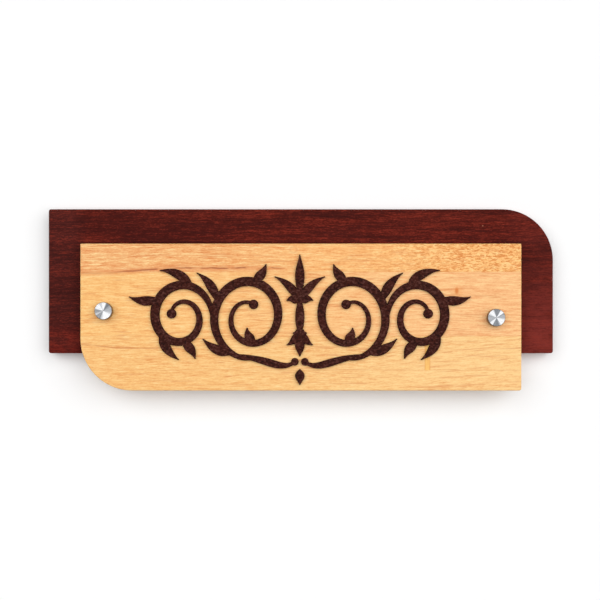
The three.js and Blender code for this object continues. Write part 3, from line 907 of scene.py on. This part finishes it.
def wall_screw(side):
    """Slotted countersunk head with a tapped hole, a smooth neck and a wood thread to the tip"""
    low, high = box_mm(f"{side}_wall_screw")
    centre = CAP_AT[side]
    front, tip = low[1], high[1]
    neck, shank = 2.8, 2.0
    rim_end = front + 0.3
    tap_end = front + 5.8
    neck_end = front + 9
    wood_pitch, wood_depth = 1.8, 0.6
    thread_start = neck_end + 0.8
    taper_start = tip - 4
    slot_depth, slot_width = 1.2, 1.0

    def taper(y):
        return max(0, (y - taper_start) / (tip - taper_start))

    rings = lathe_rings([(0, tap_end + 0.9), (TAP_RADIUS - 0.3, tap_end + 0.05)], centre, steps=96)
    rings += thread_rings(
        centre, tap_end, front + 0.25, STUD_PITCH, lambda y: TAP_RADIUS, lambda y: 0.22,
        sharpness=1, steps=96, samples=12,
    )
    rings += lathe_rings(filleted([
        (TAP_RADIUS + 0.02, front + 0.24), (TAP_RADIUS + 0.25, front), (HEAD_RADIUS, front, 0.1),
        (HEAD_RADIUS, rim_end, 0.1), (neck, rim_end + HEAD_RADIUS - neck, 0.4),
        (neck, neck_end - 0.2, 0.2), (shank - wood_depth, neck_end + 0.7),
    ]), centre, steps=96)
    rings += thread_rings(
        centre, thread_start, tip - 0.3, wood_pitch,
        lambda y: shank - 1.6 * taper(y),
        lambda y: wood_depth * min(1, (y - thread_start) / 1.5 + 0.1) * (1 - 0.8 * taper(y)),
        sharpness=2.2, steps=96, samples=14,
    )
    rings.append([(centre[0], tip, centre[1])])
    slot = box_cutter((centre[0], front, centre[1]), (3 * HEAD_RADIUS, 2 * slot_depth, slot_width))
    turned(f"{side}_wall_screw", rings, ZINC, "root", cutters=[slot])


def wall_plug(side):
    """Nylon plug: lipped collar, barbs and two crossing slits from the far end"""
    low, high = box_mm(f"{side}_wall_plug")
    centre = CAP_AT[side]
    mouth, end = low[1], high[1]
    outer = (high[0] - low[0]) / 2
    bore = 2.3
    collar = 3
    barbs, barb_depth = 4, 0.35
    slit_width, slit_share = 0.8, 0.6
    root = outer - barb_depth
    pitch = (end - mouth - collar) / barbs
    profile = [(bore, mouth, 0.15), (outer, mouth, 0.2)]
    for i in range(barbs):
        crest = mouth + collar + i * pitch
        profile += [(outer, crest, 0.12), (root, crest, 0.08)]
        if i < barbs - 1:
            profile += [(root, crest + pitch / 2, 0.5), (outer - 0.02, crest + pitch - 0.3, 0.1)]
    profile += [(root, end, 0.25), (bore, end, 0.15)]
    rings = lathe_rings(filleted(profile, closed=True), centre, steps=72)
    length = slit_share * (end - mouth)
    middle = end + 1 - (length + 1) / 2
    slits = [
        box_cutter((centre[0], middle, centre[1]), (slit_width, length + 1, 6 * outer), angle)
        for angle in (0, math.pi / 2)
    ]
    turned(f"{side}_wall_plug", rings, PLUG, "root", closed=True, cutters=slits)


def joining_screw(node):
    """Short countersunk wood screw, head to the rear, with a tapered cross recess"""
    low, high = box_mm(node)
    centre = middle_xz(node)
    rear, tip = high[1], low[1]
    head = (high[0] - low[0]) / 2
    shank = 1.75
    cone = rear - (head - shank)
    start = cone - 1.2
    pitch, depth = 1.2, 0.5
    taper_length = 2.5
    cross_length, cross_depth, cross_width = 4.75, 1.3, 1.35

    def taper(y):
        return max(0, (tip + taper_length - y) / taper_length)

    rings = [[(centre[0], rear, centre[1])]]
    rings += lathe_rings(filleted([
        (head * 0.6, rear), (head - 0.15, rear), (head, rear - 0.12, 0.08), (shank, cone, 0.4),
        (shank, start + 0.4), (shank - depth, start),
    ]), centre, steps=64)
    rings += thread_rings(
        centre, start - 0.05, tip + 0.25, pitch,
        lambda y: shank - 1.35 * taper(y),
        lambda y: depth * (1 - 0.8 * taper(y)),
        sharpness=2, steps=64, samples=12,
    )
    rings.append([(centre[0], tip, centre[1])])
    cross = (cross_length, -2 * cross_depth, cross_width)
    recess = [
        box_cutter((centre[0], rear, centre[1]), cross, angle, taper=0.6)
        for angle in (math.pi / 4, -math.pi / 4)
    ]
    turned(node, rings, ZINC, "root", cutters=recess)


for side in CAP_AT:
    steel_cap(side)
    soft_washer(side)
    wall_screw(side)
    wall_plug(side)
for node in JOINING_SCREWS:
    joining_screw(node)


# Wall, lamps, world and camera

def white_wall():
    """White in front, clear from behind, so that the back of the plate can be looked at"""
    reach, gap = 4000, 0.1
    corners = [(-reach, gap, -reach), (reach, gap, -reach), (reach, gap, reach), (-reach, gap, reach)]
    wall = make_mesh("wall", corners, [(0, 1, 2, 3)])
    if wall.data.polygons[0].normal.y > 0:
        wall.data.flip_normals()
    look = Look("white_wall", Specular_IOR_Level=0.0)
    look.finish(rgb(250, 250, 250), 0.9)

    # Shadow rays, and rays from the plate's rear face just in front, pass through, so the rear is lit
    path = look.tree.nodes.new("ShaderNodeLightPath")
    sides = look.tree.nodes.new("ShaderNodeNewGeometry")
    near = look.math("LESS_THAN", path.outputs["Ray Length"], 0.002)
    clear = look.plus(sides.outputs["Backfacing"], path.outputs["Is Shadow Ray"], near)
    seen = look.plus(path.outputs["Is Camera Ray"], path.outputs["Is Transmission Ray"])
    glow = look.tree.nodes.new("ShaderNodeEmission")
    look.put(glow.inputs["Strength"], look.times(look.math("MINIMUM", seen, 1), 0.02))
    lit = look.tree.nodes.new("ShaderNodeAddShader")
    look.put(lit.inputs[0], look.shader.outputs[0])
    look.put(lit.inputs[1], glow.outputs[0])
    gone = look.tree.nodes.new("ShaderNodeBsdfTransparent")
    choice = look.tree.nodes.new("ShaderNodeMixShader")
    look.put(choice.inputs[0], look.math("MINIMUM", clear, 1))
    look.put(choice.inputs[1], lit.outputs[0])
    look.put(choice.inputs[2], gone.outputs[0])
    look.put(look.output.inputs["Surface"], choice.outputs[0])
    wall.data.materials.append(look.material)


def sun(name, towards, strength, spread):
    """A wide soft lamp as far as light goes; towards points from the plate to the lamp"""
    lamp = bpy.data.lights.new(name, "SUN")
    lamp.energy = strength
    lamp.angle = math.radians(spread)
    obj = bpy.data.objects.new(name, lamp)
    bpy.context.scene.collection.objects.link(obj)
    obj.rotation_mode = "QUATERNION"
    obj.rotation_quaternion = (-Vector(towards)).to_track_quat("-Z", "Y")


def white_world(ambient, levels):
    """A white surround, which lights the object by ambient and shows to each kind of ray at its level"""
    world = bpy.data.worlds.new("studio")
    world.use_nodes = True
    tree = world.node_tree
    background = tree.nodes["Background"]
    background.inputs["Color"].default_value = (1, 1, 1, 1)
    path = tree.nodes.new("ShaderNodeLightPath")
    strength = background.inputs["Strength"]
    for ray, level in levels:
        step = tree.nodes.new("ShaderNodeMix")
        tree.links.new(path.outputs[ray], step.inputs["Factor"])
        tree.links.new(step.outputs["Result"], strength)
        step.inputs["B"].default_value = level
        strength = step.inputs["A"]
    strength.default_value = ambient
    bpy.context.scene.world = world


def level_camera(place, lens, rise):
    """A camera that looks straight at the wall, in metres; rise is its upward shift"""
    camera = bpy.data.cameras.new("camera")
    camera.sensor_width = 36
    camera.lens = lens
    camera.shift_y = rise
    obj = bpy.data.objects.new("camera", camera)
    bpy.context.scene.collection.objects.link(obj)
    obj.location = place
    obj.rotation_euler = (math.pi / 2, 0, 0)
    bpy.context.scene.camera = obj


white_wall()
sun("key", towards=(0.506, -0.843, 0.182), strength=1.92, spread=66)
sun("fill", towards=(-0.424, -0.87, 0.25), strength=1.52, spread=60)
sun("rear", towards=(-0.3, 0.9, 0.4), strength=1.2, spread=60)
white_world(ambient=0.1, levels=(("Is Camera Ray", 1.0), ("Is Glossy Ray", 0.45)))
level_camera(place=(-0.0006, -0.602, -0.0287), lens=50.23, rise=0.0365)
bpy.context.scene.view_settings.view_transform = "Standard"
